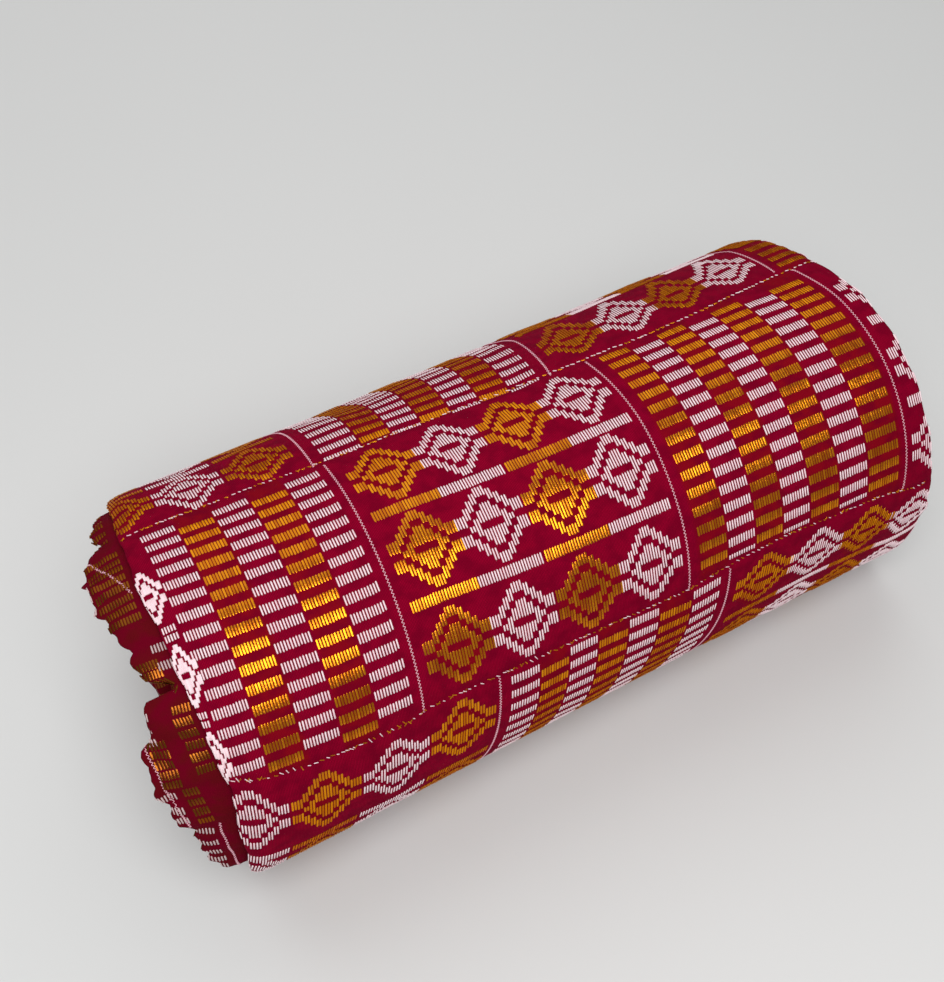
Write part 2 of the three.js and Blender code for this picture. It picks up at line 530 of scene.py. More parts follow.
class Strip:
    """A strip of the cloth. to_cloth turns a strip's own (u, w) into the cloth's (u, v)."""

    def __init__(self, to_cloth):
        self.to_cloth = to_cloth
        self.floats = {WHITE: [], GOLD: []}
        self.gold_columns = []
        self.gold_diamonds = []

    def bar(self, colour, start, end, middle, height):
        count = max(2, round((end - start) / PICK))
        for k in range(count):
            u = start + (k + 0.5) * (end - start) / count
            self.floats[colour].append((u, middle - height / 2, middle + height / 2))

    def columns(self, edges, letters, odd, even, low, high):
        """Blocks of bars: the odd columns at one set of heights, and the even between them."""
        for k, letter in enumerate(letters):
            start, end = edges[k], edges[k + 1]
            if letter == "G":
                self.gold_columns.append((start, end))
            for middle in even if k % 2 else odd:
                bottom = max(middle - BAR_HEIGHT / 2, low)
                height = min(middle + BAR_HEIGHT / 2, high) - bottom
                if height > SHORTEST_BAR:
                    self.bar(COLOUR_OF[letter], start + COLUMN_GAP, end - COLUMN_GAP,
                             bottom + height / 2, height)

    def diamond(self, colour, centre, middle, squeeze=1.0, tall=1.0, low=-1e3, high=1e3):
        """A stepped diamond with a small lozenge in it, from low to high at most."""
        unit = DIAMOND_UNIT * tall
        offset = 0.5
        for picks, *runs in DIAMOND:
            for _ in range(picks):
                for side in (-1, 1):
                    u = centre + side * offset * PICK * squeeze
                    for start, end in runs:
                        for up in (1,) if start < 0 else (1, -1):
                            a, b = sorted((middle + up * start * unit, middle + up * end * unit))
                            a, b = max(a, low), min(b, high)
                            if b - a > SHORTEST_RUN:
                                self.floats[colour].append((u, a, b))
                offset += 1

    def diamond_rows(self, centres, letters, middles, bars, **form):
        """Rows of diamonds with thin bars between the rows, one colour for each diamond."""
        for centre, letter in zip(centres, letters):
            if letter == "G":
                self.gold_diamonds.append(centre)
            for middle in middles:
                self.diamond(COLOUR_OF[letter], centre, middle, **form)
            for middle in bars:
                start, end = centre - THIN_BAR_HALF, centre + THIN_BAR_HALF
                self.bar(COLOUR_OF[letter], start, end, middle, THIN_BAR)

    def threads(self, colour):
        """The floats of one colour as arrays: u and v at their two ends."""
        u, low, high = np.array(self.floats[colour]).T
        return self.to_cloth(u, low), self.to_cloth(u, high)


def main_strip():
    """The strip that faces the front, between the seams on top and in front."""

    def to_cloth(u, w):
        slant = along_table(
            u, (0, 1.2), (22, 2.2), (42, 3.1), (60, 2.9), (68, 1.1), (80, 1.1), (102, 2.0),
            (128, 2.2), (165, 1.4), (172, 0.7), (202, 0), (222, -0.4), (260, -0.4),
        )
        ease = along_table(
            u, (2, -0.2), (22, -0.7), (62, 0), (82, 0.3), (102, 0.1), (122, -0.5), (142, -0.2),
            (162, -0.4), (182, -0.7), (202, -0.9), (222, -0.9), (250, -0.3),
        )
        drawn = along_table(u, (100, 0), (142, 1), (172, 0.6), (190, 0))
        lean = drawn * (0.35 - 1.5 * np.clip(1 - w / 30, 0, 1))
        return u + ease + lean, w + slant

    strip = Strip(to_cloth)
    odd = [30.2 + (6.47 if k >= 0 else 6.1) * k for k in range(-5, 10)]
    even = [m + 3.1 for m in odd]
    edges = spaced(-0.5, 6, 12.5)
    strip.columns(edges, "WGWGW", odd, even, -4.4, 95.0)
    strip.diamond_rows((80.5, 104, 128.5, 152), "GWGW", (12.3, 45, 79), (28.8, 61.7))
    edges = [170.6, 182.3, 194, 205.3, 216.7, 228.7, 241, 254.3]
    early = [-5.8, *odd]
    strip.columns(edges, "GWGWGWG", early, even, -4.0, 91.6)
    for middle in (15, 48, 80):
        strip.diamond(WHITE, 271.8, middle)
        strip.diamond(WHITE, 295.4, middle)
    for middle in (30.5, 63):
        strip.bar(WHITE, 260.5, 300, middle, THIN_BAR)
    for u, middle, squeeze in ((-5.6, 25, 0.42), (-3.6, 54.5, 0.36), (-2.6, 84, 0.34)):
        strip.diamond(WHITE, u, middle, squeeze=squeeze, tall=0.78)
    for middle in (38.5, 41.5, 68, 71):
        strip.bar(WHITE, -6, -1.2, middle, 2.4)
    return strip


# The top strip's rows follow a curve of their own up to TOP_NEAR. The others are spread evenly
# from there, and the strip's last row, TOP_END, comes to lie TOP_REACH from the seam.
TOP_NEAR, TOP_END, TOP_REACH = 33.0, 97.0, 104.0


def top_lean(u, far):
    """The strip on top leans to the right as it falls away, far from its seam."""
    slope = along_table(u, (60, 0.06), (75, 0.08), (105, 0.15), (150, 0.2), (200, 0.22))
    return slope * (far - 12) * np.exp(-np.maximum(far - 40, 0) / 40)


def top_strip():
    """The strip over the top, which falls away to the back."""

    def to_cloth(u, w):
        ease = along_table(
            u, (22, -0.11), (47, 0.1), (75, 0.157), (98, 0.14), (122, 0.2), (145, 0.35),
            (171, 0.34), (195, 0.38), (240, 0.36),
        )
        lower = along_table(
            u, (0, 0.8), (22, 3.0), (47, 2.0), (62, 2.3), (82, 1.7), (102, 3.0), (122, 3.9),
            (142, 4.7), (153, 3.2), (160, -0.9), (182, -0.3), (202, -0.8), (222, -1.6),
            (242, -1.8), (260, -0.4),
        )
        near = np.minimum(w, TOP_NEAR) - lower
        beyond = np.maximum(w - TOP_NEAR, 0)
        near = near * (1 + ease * (np.maximum(near, 0) / 30) ** 2.2)
        far = near + beyond * (TOP_REACH - near) / (TOP_END - TOP_NEAR)
        over = along_table(
            u, (22, 0.1), (62, 0.1), (82, 0.8), (102, 0.6), (122, 0.3), (145, 0), (160, 1.1),
            (200, 1.1), (242, 0.6),
        )
        return u + over + top_lean(u, far), seam_top(u) - far

    strip = Strip(to_cloth)
    rows = (16.8, 49.5, 82)
    bars = (33.3, 66)
    strip.diamond_rows((-2.5, 22, 47), "GWG", rows, bars)
    edges = [66.5, 80.5, 92, 103.5, 115, 126.5, 138, 149.8]
    white = spaced(1.9, 16)
    gold = spaced(5.0, 15)
    strip.columns(edges, "WGWGWGW", white, gold, 2.0, 95.5)
    strip.diamond_rows((169, 192.5, 215.5, 239), "GWGW", rows, bars, tall=0.98)
    edges = [256.5, 269, 281]
    strip.columns(edges, "GW", gold, white, 3.0, 95.5)
    return strip


def low_strip():
    """The strip below the front seam, which turns under the roll."""

    def to_cloth(u, w):
        lower = along_table(
            u, (5, -0.5), (29, 0.7), (54, 0.8), (78, -1.2), (102, 0.5), (122, -0.8), (142, -0.8),
            (165, -0.4), (182, 0.4), (202, 2.1), (222, 1.3), (262, 1.5),
        )
        ease = along_table(
            u, (5, -1.2), (29, -0.6), (54, 0.2), (80, 0), (102, 0.8), (122, 0.2), (142, 0),
            (162, 0.5), (182, 0.8), (202, 1.3), (242, 1.8),
        )
        return u + ease, seam_front(u) + lower + w * along_table(u, (175, 1.0), (190, 0.9))

    strip = Strip(to_cloth)
    strip.diamond_rows((5, 29.5, 54, 78.5), "WGWG", (17.2, 51, 85), (38, 70), low=1.5)
    edges = [95.6, 107, 118.5, 130, 142, 154, 167, 178.6]
    white = spaced(4.0, 15)
    gold = spaced(7.2, 15)
    strip.columns(edges, "WGWGWGW", white, gold, 1.5, 97)
    strip.diamond_rows((197.5, 220, 243, 265), "GWGW", (15.5, 51, 88), (33.5, 70), low=1.5)
    edges = [283, 295, 307]
    strip.columns(edges, "WG", white, gold, 1.5, 97)
    return strip


BACK_BLOCK = 94.0


def back_strip(start, end):
    """A strip at the back or underneath, as the others go on: bars, diamonds and bars again."""
    way = 1 if end > start else -1

    def to_cloth(u, w):
        return u, start + way * w

    strip = Strip(to_cloth)
    span = abs(end - start)
    rows = [m for m in (16.5, 49.5, 82.5) if m < span]
    bars = [m for m in (33, 66) if m < span - 2]
    white = [m for m in spaced(5.0, 15) if m < span - 3]
    gold = [m + 3.2 for m in white[:-1]]
    for block in range(3):
        left = BACK_BLOCK * block - 1.5
        if block == 1:
            centres = spaced(left + 12, 4, 23.4)
            strip.diamond_rows(centres, "GWGW", rows, bars, low=2, high=span - 1)
        else:
            edges = spaced(left, 8, 12.3)
            strip.columns(edges, "GWGWGWG", white, gold, 2.0, span - 2)
    return strip


# Seams and edge lines are small pads too: rows of (u, v) ends.

# Where the stitches of the front seam are longer and less even, as start and end in u.
MENDED = ((0, 4), (13, 23), (45, 60), (100, 108))
FRONT_SEAM = 1
SEAM_START, SEAM_END = -6.0, 268.0

# The shares of the stitches that are gold, and that have a second one laid across them.
GOLD_STITCHES, CROSSED_STITCHES = 0.35, 0.3


def seam_stitches():
    """Small slanted stitches over each seam, white and gold."""
    rows = {WHITE: [], GOLD: []}
    rng = np.random.default_rng(11)
    for k in range(len(SEAM_STATIONS)):
        u = SEAM_START
        while u < SEAM_END:
            v = float(seam_lines(np.array([u]))[k][0])
            lean = rng.uniform(0.7, 1.7)
            reach = rng.uniform(0.1, 0.5)
            side = rng.uniform(-0.25, 0.25)
            if k == FRONT_SEAM and any(start < u < end for start, end in MENDED):
                reach = rng.uniform(0.6, 1.1)
                side = rng.uniform(-0.8, 0.4)
            colour = GOLD if rng.random() < GOLD_STITCHES else WHITE
            rows[colour].append((u, v + side - reach, u + lean, v + side + reach))
            if rng.random() < CROSSED_STITCHES:
                rows[GOLD].append((u + 0.4, v + 0.6, u + 1.6, v - 0.5))
            u += rng.uniform(1.3, 2.6)
    return rows


ZIGZAG_REACH = 0.42
ZIGZAG_STEP = 0.62

# Lines on the outermost fold at the left end: the distances out of the wrap at their two ends,
# and their start and end in v.
INNER_LINES = ((15, 2, -14, 19.4), (17, 13, 60, 111.4), (4, 3, 112, 157.8))


def zigzag(to_cloth, u_start, u_end, start, end, side=1):
    """The stitches of a zigzag line on a strip. side is -1 for one that starts the other way."""
    k = np.arange(math.ceil((end - start) / ZIGZAG_STEP))
    u = u_start + (u_end - u_start) * k / len(k)
    w = start + k * ZIGZAG_STEP
    reach = side * ZIGZAG_REACH * (-1.0) ** k
    return np.stack([*to_cloth(u - reach, w), *to_cloth(u + reach, w + ZIGZAG_STEP)], axis=1)


def edge_lines():
    """Thin zigzag lines of pink weft between the blocks and on the fold at the left end."""
    main, top, low, inner = (STRIPS[k].to_cloth for k in (0, 1, 2, -1))
    lines = [
        zigzag(main, u, u, float(seam_top(u)) + 1, float(seam_front(u)) - 1)
        for u in (64.9, 166.3, 257.4)
    ]
    lines += [zigzag(top, u, u, 1, 96) for u in (62.6, 153.6, 253.0)]
    lines += [zigzag(low, u, u, 1, 98) for u in (92.0, 182.0, 278.5)]
    lines += [zigzag(inner, *line, side=-1) for line in INNER_LINES]
    return np.concatenate(lines)


# Bars on the outermost fold that stands out at the left end: colour, the distances out of the
# wrap at their two ends, the v of the first and the limit of the last, and the step between them.
INNER_BARS = (
    (GOLD, 3.5, 15.5, -105, -12, BAR_PITCH), (WHITE, 16, 28, -101.8, -12, BAR_PITCH),
    (GOLD, 2, 14, -3, 31, 4.6), (WHITE, 14.5, 26, 8, 46, 5.2), (WHITE, -2, 3, 43, 50, BAR_PITCH),
    (GOLD, 2, 12, 48, 59, 3.4), (GOLD, -2, 4, 65, 90, 4.4), (GOLD, 9, 15, 76, 92, 3.6),
    (GOLD, 5, 10, 95, 108, 4.2), (WHITE, 11, 18, 65, 75, 4.8), (WHITE, 12, 20, 96, 110, 5.4),
    (WHITE, 6, 12, 116, 190, BAR_PITCH), (GOLD, 12.5, 24, 119, 190, BAR_PITCH),
)
INNER_BAR_HEIGHT = BAR_HEIGHT * 0.9


def inner_strip():
    """What shows of the inner stack's outermost fold. Here u is the distance out of the wrap."""

    def to_cloth(u, w):
        return cloth.inner_u(u, w), w

    strip = Strip(to_cloth)
    for colour, near, far, start, end, step in INNER_BARS:
        for middle in np.arange(start, end, step):
            strip.bar(colour, near, far, middle, INNER_BAR_HEIGHT)
    return strip


# Where the back's raised weft ends, as the cloth goes in under the roll, and the loose end.
BACK_END, LOOSE_END = -172.0, 264.0
STRIPS = [main_strip(), top_strip(), low_strip(), back_strip(SEAM_BACK, BACK_END),
          back_strip(SEAM_FRONT_LOW, LOOSE_END), inner_strip()]

# Meshes


def link(obj):
    bpy.context.scene.collection.objects.link(obj)
    return obj


def cloth_sheet():
    """The cloth as one closed sheet: front rows, back rows, edges and the two cut ends."""
    rows, count = cloth.front.shape[:2]
    points = np.concatenate([cloth.front, cloth.back[:, ::-1]], axis=1) * MM
    uv = np.concatenate([cloth.uv, cloth.uv[:, ::-1]], axis=1)
    ring = 2 * count
    ids = np.arange(rows * ring).reshape(rows, ring)
    following = np.roll(ids, -1, axis=1)
    quads = np.stack([ids[:-1], following[:-1], following[1:], ids[1:]], -1).reshape(-1, 4)
    caps = []
    for row, way in ((0, -1), (rows - 1, 1)):
        for k in range(count - 1):
            caps.append(ids[row, [k, k + 1, ring - 2 - k, ring - 1 - k]][::way])
    faces = np.concatenate([quads, np.array(caps)])
    mesh = bpy.data.meshes.new("cloth_sheet")
    mesh.from_pydata(points.reshape(-1, 3).tolist(), [], faces.tolist())
    corners = np.zeros(len(mesh.loops), np.int32)
    mesh.loops.foreach_get("vertex_index", corners)
    for name, values in (("weave", uv * MM), ("strips", strip_uv(uv))):
        mesh.uv_layers.new(name=name)
        flat = values.reshape(-1, 2)[corners].astype(np.float32).ravel()
        mesh.uv_layers[name].data.foreach_set("uv", flat)
    mesh.shade_smooth()
    return link(bpy.data.objects.new("cloth_sheet", mesh))


STRIP_SPAN = 100.0


def strip_uv(uv):
    """u in the strip's own blocks, and v counted in strips: 2 to 3 is the strip in front."""
    u, v = uv[..., 0], uv[..., 1]
    lines = seam_lines(np.clip(u, -20, 290))
    low, back = (v - lines[0]) / STRIP_SPAN, (v - lines[3]) / STRIP_SPAN
    number = np.where(v >= lines[0], 4 + low, 1 + back)
    for k in range(3):
        near, far = lines[k], lines[k + 1]
        number = np.where((v < near) & (v >= far), 3 - k + (v - far) / (near - far), number)
    on_top = (v < lines[2]) & (v > lines[3])
    own = u - np.where(on_top, top_lean(u, np.clip(lines[2] - v, 0, TOP_REACH)), 0)
    return np.stack([own * MM, number], -1)


# Nodes


def feed(tree, socket, value):
    """Links a socket to where its value comes from, or sets it to a plain value."""
    if isinstance(value, bpy.types.NodeSocket):
        tree.links.new(value, socket)
    else:
        socket.default_value = value


def node(tree, kind, inputs=None, **settings):
    """A new node with its settings, and with its inputs by name or number."""
    made = tree.nodes.new(kind)
    for name, value in settings.items():
        setattr(made, name, value)
    for name, value in (inputs or {}).items():
        feed(tree, made.inputs[name], value)
    return made


def maths(tree, operation, *values):
    return node(tree, "ShaderNodeMath", dict(enumerate(values)), operation=operation).outputs[0]


def times(tree, a, b):
    return maths(tree, "MULTIPLY", a, b)


def parts_of(tree, vector):
    return node(tree, "ShaderNodeSeparateXYZ", {0: vector}).outputs


def vector_of(tree, *parts):
    return node(tree, "ShaderNodeCombineXYZ", dict(enumerate(parts))).outputs[0]


# Geometry Nodes: one pad of thread for each point of a set


def point_value(tree, name, kind="FLOAT"):
    found = node(tree, "GeometryNodeInputNamedAttribute", {"Name": name}, data_type=kind)
    return found.outputs["Attribute"]


def change(tree, kind, geometry, inputs=None, **settings):
    """A node that changes a geometry, and what comes out of it."""
    inputs = {"Geometry": geometry, **(inputs or {})}
    return node(tree, kind, inputs, **settings).outputs["Geometry"]


def tree_sockets(tree):
    """The tree's inputs, with the values that they start from, and its output."""
    tree.interface.new_socket("Geometry", in_out="INPUT", socket_type="NodeSocketGeometry")
    for name, kind, value in (
        ("Thread height", "NodeSocketFloat", 0.0005), ("End fullness", "NodeSocketFloat", 0.3),
        ("Unevenness", "NodeSocketFloat", 0.06), ("Seed", "NodeSocketInt", 5),
    ):
        tree.interface.new_socket(name, in_out="INPUT", socket_type=kind).default_value = value
    tree.interface.new_socket("Geometry", in_out="OUTPUT", socket_type="NodeSocketGeometry")


def plump_pad(tree, fullness):
    """A small ball with full ends, 1 long each way."""
    ball = node(tree, "GeometryNodeMeshUVSphere", {"Segments": 4, "Rings": 3, "Radius": 0.5})
    x, y, z = parts_of(tree, node(tree, "GeometryNodeInputPosition").outputs[0])
    doubled = times(tree, maths(tree, "ABSOLUTE", z), 2.0)
    full = times(tree, maths(tree, "POWER", doubled, fullness), 0.5)
    place = vector_of(tree, x, y, times(tree, full, maths(tree, "SIGN", z)))
    return change(tree, "GeometryNodeSetPosition", ball.outputs["Mesh"], {"Position": place})


def pad_tree(material):
    """A tree that lays a plump pad of thread at each point, turned to its own direction."""
    tree = bpy.data.node_groups.new("thread_pads", "GeometryNodeTree")
    tree_sockets(tree)
    given = node(tree, "NodeGroupInput").outputs
    turn = node(tree, "FunctionNodeAxesToRotation", {
        "Primary Axis": point_value(tree, "along", "FLOAT_VECTOR"),
        "Secondary Axis": point_value(tree, "up", "FLOAT_VECTOR"),
    }, primary_axis="Z", secondary_axis="X")
    limits = {"Min": -1.0, "Max": 1.0, "Seed": given["Seed"]}
    chance = node(tree, "FunctionNodeRandomValue", limits, data_type="FLOAT")
    factor = maths(tree, "ADD", times(tree, chance.outputs[1], given["Unevenness"]), 1.0)
    high = times(tree, factor, given["Thread height"])
    span = times(tree, point_value(tree, "span"), factor)
    points = node(tree, "GeometryNodeMeshToPoints", {"Mesh": given["Geometry"]})
    laid = node(tree, "GeometryNodeInstanceOnPoints", {
        "Points": points.outputs["Points"],
        "Instance": plump_pad(tree, given["End fullness"]),
        "Rotation": turn.outputs["Rotation"],
        "Scale": vector_of(tree, high, point_value(tree, "wide"), span),
    })
    tone = node(tree, "FunctionNodeRandomValue", {"Seed": 9}, data_type="FLOAT").outputs[1]
    pads = change(
        tree, "GeometryNodeStoreNamedAttribute", laid.outputs["Instances"],
        {"Name": "tone", "Value": tone}, data_type="FLOAT", domain="INSTANCE",
    )
    pads = change(tree, "GeometryNodeRealizeInstances", pads)
    pads = change(tree, "GeometryNodeSetShadeSmooth", pads)
    pads = change(tree, "GeometryNodeSetMaterial", pads, {"Material": material})
    node(tree, "NodeGroupOutput", {"Geometry": pads})
    return tree


SHORTEST_THREAD = 0.3


def thread_points(name, u0, v0, u1, v1, wide, lift, in_shade):
    """The middles of threads from each (u0, v0) to its (u1, v1) on the cloth's front, with each
    one's direction, length and width, and which way is up from the cloth."""
    start, end = cloth.at(u0, v0), cloth.at(u1, v1)
    u, v = (u0 + u1) / 2, (v0 + v1) / 2
    up = cloth.normal(u, v)
    middle = cloth.at(u, v) + lift * up
    along = end - start
    span = np.linalg.norm(along, axis=-1)
    keep = span > SHORTEST_THREAD
    points = bpy.data.meshes.new(name + "_points")
    points.from_pydata((middle[keep] * MM).tolist(), [], [])
    # The last value marks the threads that get painted shade.
    for title, values in (
        ("along", along / np.maximum(span, SHORTEST_THREAD)[:, None]), ("up", up),
        ("span", span * MM), ("wide", 0 * span + wide * MM), ("fold_shade", 0 * span + in_shade),
    ):
        kind, field = ("FLOAT_VECTOR", "vector") if values.ndim == 2 else ("FLOAT", "value")
        stored = points.attributes.new(title, kind, "POINT")
        stored.data.foreach_set(field, values[keep].astype(np.float32).ravel())
    return points


def thread_pads(name, ends, material, size, seed, in_shade):
    """A piece of joined pads, one for each column of ends: u0, v0, u1 and v1. size is a thread's
    width, how far its middle stands off the cloth, and its height."""
    wide, lift, high = size
    chosen = {"Thread height": high * MM, "Seed": seed}
    points = thread_points(name, *ends, wide, lift, in_shade)
    raw = link(bpy.data.objects.new(name + "_raw", points))
    grown = raw.modifiers.new("pads", "NODES")
    grown.node_group = pad_tree(material)
    for item in grown.node_group.interface.items_tree:
        if item.in_out == "INPUT" and item.name in chosen:
            grown[item.identifier] = chosen[item.name]
    ready = raw.evaluated_get(bpy.context.evaluated_depsgraph_get())
    mesh = bpy.data.meshes.new_from_object(ready)
    mesh.name = name
    for corner in mesh.vertices:
        corner.co.z = max(corner.co.z, 0.0)
    raw.modifiers.remove(grown)
    bpy.data.objects.remove(raw)
    return link(bpy.data.objects.new(name, mesh))


# Materials


def new_material(name, looks):
    """A material with one shader. looks are its sockets that are the same all over."""
    material = bpy.data.materials.new(name)
    material.use_nodes = True
    tree = material.node_tree
    tree.nodes.clear()
    shader = node(tree, "ShaderNodeBsdfPrincipled", looks)
    node(tree, "ShaderNodeOutputMaterial", {"Surface": shader.outputs[0]})
    return material, tree, shader


def attribute(tree, name, output="Fac"):
    return node(tree, "ShaderNodeAttribute", attribute_name=name).outputs[output]


def map_parts(tree, name):
    """A UV map in millimetres: as a vector, and as its two numbers."""
    uv = node(tree, "ShaderNodeUVMap", uv_map=name).outputs[0]
    inputs = {0: uv, "Scale": 1 / MM}
    vector = node(tree, "ShaderNodeVectorMath", inputs, operation="SCALE").outputs[0]
    u, v, _ = parts_of(tree, vector)
    return vector, u, v


def noise(tree, vector, scale, detail=2.0):
    inputs = {"Vector": vector, "Scale": scale, "Detail": detail}
    return node(tree, "ShaderNodeTexNoise", inputs).outputs["Fac"]


def object_noise(tree, scale, detail=2.0):
    return noise(tree, node(tree, "ShaderNodeTexCoord").outputs["Object"], scale, detail)


def mix_colour(tree, factor, a, b):
    a, b = ((*colour, 1.0) if isinstance(colour, tuple) else colour for colour in (a, b))
    return node(tree, "ShaderNodeMix", {0: factor, 6: a, 7: b}, data_type="RGBA").outputs[2]


def fold_shade(tree, base, colour, share):
    """Painted shade: darker colour on the threads of the folds that stand out at the left end."""
    return mix_colour(tree, times(tree, attribute(tree, "fold_shade"), share), base, colour)


def flat_normal(tree, share):
    """The thread's own normal, turned towards the cloth's: a flat tape, not a round thread."""
    round_one = node(tree, "ShaderNodeNewGeometry").outputs["Normal"]
    inputs = {0: share, 4: round_one, 5: attribute(tree, "up", "Vector")}
    mixed = node(tree, "ShaderNodeMix", inputs, data_type="VECTOR").outputs[1]
    return node(tree, "ShaderNodeVectorMath", {0: mixed}, operation="NORMALIZE").outputs[0]


def bump(tree, height, strength, distance, **normal):
    inputs = {"Height": height, "Strength": strength, "Distance": distance, **normal}
    return node(tree, "ShaderNodeBump", inputs).outputs[0]


def finish_shader(tree, shader, colour, normal):
    feed(tree, shader.inputs["Base Color"], colour)
    feed(tree, shader.inputs["Normal"], normal)


def wave(tree, value, period):
    """A sine over a length in millimetres, from 0 to 1."""
    turned = maths(tree, "SINE", times(tree, value, 2 * math.pi / period))
    return maths(tree, "ADD", times(tree, turned, 0.5), 0.5)


CRIMSON = (0.52, 0.0, 0.042)
CRIMSON_DEEP = (0.14, 0.0, 0.012)
CRIMSON_WARM = (0.21, 0.003, 0.004)
# Painted shade for the ground that lies folded in at the left end.
CRIMSON_SHADED_INNER = (0.085, 0.004, 0.004)
WHITE_THREAD = (0.94, 0.79, 0.82)
WHITE_SHADE = (0.82, 0.48, 0.54)
# Painted shade for the white threads on the folds at the left end.
WHITE_SHADED_FOLD = (0.5, 0.36, 0.35)
# White of the flat pattern deep in the folds, darkened as painted shade.
WHITE_SHADED_DEEP = (0.3, 0.22, 0.23)
LINE_PINK = (0.8, 0.4, 0.5)
GOLD_THREAD = (0.78, 0.29, 0.012)
GOLD_SHADE = (0.4, 0.075, 0.006)
# Painted shade for the gold threads on the folds at the left end.
GOLD_SHADED_FOLD = (0.16, 0.045, 0.008)
# Gold of the flat pattern deep in the folds, darkened as painted shade.
GOLD_SHADED_DEEP = (0.2, 0.07, 0.01)
FLOOR_PALE = (0.64, 0.644, 0.638)
FLOOR_PALER = (0.67, 0.672, 0.666)

# The weave: the pitch of its threads, and the grain of a white and a gold thread.
WARP_PITCH = 0.42
WEFT_PITCH = 0.5
WHITE_GRAIN = 2600.0
GOLD_GRAIN = 1500.0

# The sheet's u and v from which it lies deep inside the folds or the turns, in painted shade.
FOLDED_IN_U = -260.0
DEEP_U = -640.0
DEEP_V = -178.0


def ground_material():
    """The crimson ground: a fine ribbed weave with flecks, redder under the gold blocks. It is
    painted darker as shade where it lies folded in.
    """
    material, tree, shader = new_material("crimson_ground", {
        "Roughness": 0.82, "Specular IOR Level": 0.015, "Sheen Weight": 0.03,
        "Sheen Roughness": 0.45, "Sheen Tint": (0.9, 0.02, 0.2, 1),
    })
    place, u, v = map_parts(tree, "weave")
    ribs = times(tree, wave(tree, u, WEFT_PITCH), wave(tree, v, WARP_PITCH))
    flecks = noise(tree, place, 1.6, 3.0)
    clouds = noise(tree, place, 0.045)
    mottle = maths(tree, "SUBTRACT", noise(tree, place, 0.16, 3.0), 0.42)
    mottle = maths(tree, "MINIMUM", maths(tree, "MAXIMUM", mottle, 0.0), 0.2)
    base = mix_colour(tree, ribs, CRIMSON_DEEP, CRIMSON)
    base = mix_colour(tree, times(tree, clouds, 0.3), base, CRIMSON_WARM)
    base = mix_colour(tree, times(tree, gold_ground(tree), 0.7), base, CRIMSON_WARM)
    # Painted shade: darker ground where the cloth lies folded in.
    folded_in_shade = times(tree, maths(tree, "LESS_THAN", u, FOLDED_IN_U), 0.85)
    base = mix_colour(tree, folded_in_shade, base, CRIMSON_SHADED_INNER)
    base = painted_inner(tree, u, v, base)
    base = mix_colour(tree, times(tree, flecks, 0.3), base, CRIMSON_DEEP)
    base = mix_colour(tree, times(tree, mottle, 3.4), base, CRIMSON_DEEP)
    height = maths(tree, "ADD", ribs, times(tree, flecks, 0.6))
    finish_shader(tree, shader, base, bump(tree, height, 0.5, 0.00025))
    return material


# The colour ramp along a strip, in u, and the reach of a block's soft edge and of a diamond.
RAMP_START = -30.0
RAMP_LENGTH = 340.0
RAMP_EDGE = 0.2
DIAMOND_HALF = 12.2

# Where gold blocks show: the place in STRIPS, the strip's number in the map, where a row of
# diamonds lies in it, and how far apart the rows are. Lengths here are in strips.
GOLD_STRIPS = ((0, 2, 2.186, 0.332), (1, 1, 1.826, 0.36), (2, 3, 3.172, 0.34))
DIAMOND_REACH = 0.136


def gold_ramp(tree, u, strip):
    """Red where u is in a gold column, and green rising to the middle of each gold diamond."""
    stops = []
    for start, end in strip.gold_columns:
        stops += [(start - RAMP_EDGE, 0, 0), (start, 1, 0), (end, 1, 0), (end + RAMP_EDGE, 0, 0)]
    for centre in strip.gold_diamonds:
        stops += [(centre - DIAMOND_HALF, 0, 0), (centre, 0, 1), (centre + DIAMOND_HALF, 0, 0)]
    scaled = maths(tree, "DIVIDE", maths(tree, "SUBTRACT", u, RAMP_START), RAMP_LENGTH)
    made = node(tree, "ShaderNodeValToRGB", {0: scaled})
    stop = made.color_ramp.elements
    while len(stop) > 1:
        stop.remove(stop[-1])
    stop[0].position = 0
    stop[0].color = (0, 0, 0, 1)
    for place, column, diamond in sorted(stops):
        stop.new((place - RAMP_START) / RAMP_LENGTH).color = (column, diamond, 0, 1)
    parts = node(tree, "ShaderNodeSeparateColor", {0: made.outputs[0]})
    return parts.outputs[0], parts.outputs[1]


def gold_ground(tree):
    """1 where the ground lies in a gold block. Gold warp there makes the crimson redder."""
    u, number, _ = parts_of(tree, node(tree, "ShaderNodeUVMap", uv_map="strips").outputs[0])
    u = times(tree, u, 1 / MM)
    total = None
    for strip, k, row, period in GOLD_STRIPS:
        column, diamond = gold_ramp(tree, u, STRIPS[strip])
        away = maths(tree, "PINGPONG", maths(tree, "SUBTRACT", number, row), period / 2)
        inside = maths(tree, "GREATER_THAN", diamond, maths(tree, "DIVIDE", away, DIAMOND_REACH))
        here = times(tree, maths(tree, "GREATER_THAN", number, float(k)),
                     maths(tree, "LESS_THAN", number, float(k + 1)))
        part = times(tree, maths(tree, "MAXIMUM", column, inside), here)
        total = part if total is None else maths(tree, "ADD", total, part)
    return total


